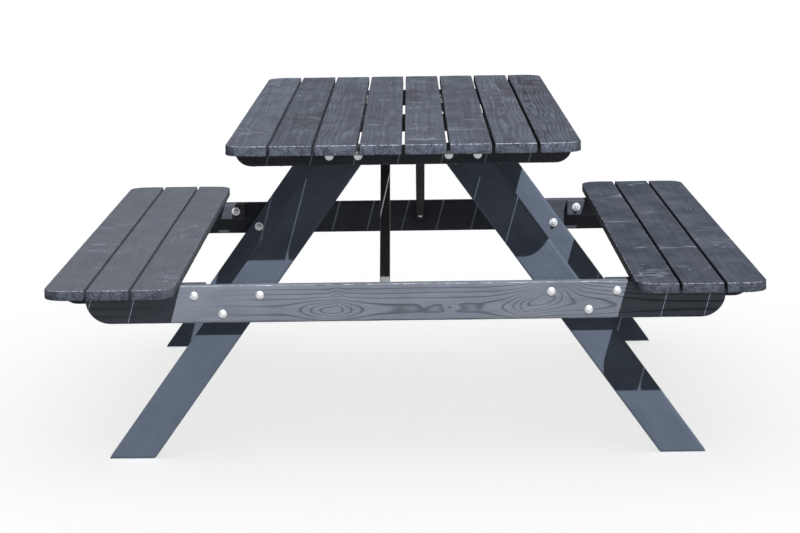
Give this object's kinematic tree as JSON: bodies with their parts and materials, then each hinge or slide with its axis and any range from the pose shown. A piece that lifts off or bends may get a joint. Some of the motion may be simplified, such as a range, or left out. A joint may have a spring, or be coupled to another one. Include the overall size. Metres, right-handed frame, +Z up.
{
  "type": "picnic table",
  "caption": "Free-standing wooden picnic table with a fixed bench along each side, on bolted leaning-leg end frames with diagonal braces.",
  "frame": {"origin": "on the ground, under the middle of the tabletop", "axes": "+X across the table towards the right bench, +Y along the boards towards the rear end frame, +Z up"},
  "size_m": [1.626, 1.8, 0.756],
  "materials": {
    "stained_tabletop_boards": "anthracite stain, worn and scuffed",
    "stained_bench_boards": "anthracite stain, satin",
    "stained_frame_timber": "anthracite stain, satin",
    "zinc_steel": "bright zinc plating"
  },
  "bodies": {
    "root": {"bench_screws": "zinc_steel", "brace_screws": "zinc_steel", "carriage_bolts": "zinc_steel", "front_brace": "stained_frame_timber", "front_left_leg": "stained_frame_timber", "front_left_seat_batten": "stained_frame_timber", "front_right_leg": "stained_frame_timber", "front_right_seat_batten": "stained_frame_timber", "front_stretcher": "stained_frame_timber", "front_top_batten": "stained_frame_timber", "hex_nuts": "zinc_steel", "left_bench_board_1": "stained_bench_boards", "left_bench_board_2": "stained_bench_boards", "left_bench_board_3": "stained_bench_boards", "middle_left_seat_batten": "stained_frame_timber", "middle_right_seat_batten": "stained_frame_timber", "middle_top_batten": "stained_frame_timber", "rear_brace": "stained_frame_timber", "rear_left_leg": "stained_frame_timber", "rear_left_seat_batten": "stained_frame_timber", "rear_right_leg": "stained_frame_timber", "rear_right_seat_batten": "stained_frame_timber", "rear_stretcher": "stained_frame_timber", "rear_top_batten": "stained_frame_timber", "right_bench_board_1": "stained_bench_boards", "right_bench_board_2": "stained_bench_boards", "right_bench_board_3": "stained_bench_boards", "tabletop_board_1": "stained_tabletop_boards", "tabletop_board_2": "stained_tabletop_boards", "tabletop_board_3": "stained_tabletop_boards", "tabletop_board_4": "stained_tabletop_boards", "tabletop_board_5": "stained_tabletop_boards", "tabletop_board_6": "stained_tabletop_boards", "tabletop_board_7": "stained_tabletop_boards", "tabletop_board_8": "stained_tabletop_boards", "tabletop_screws": "zinc_steel", "washers": "zinc_steel"}
  },
  "joints": []
}
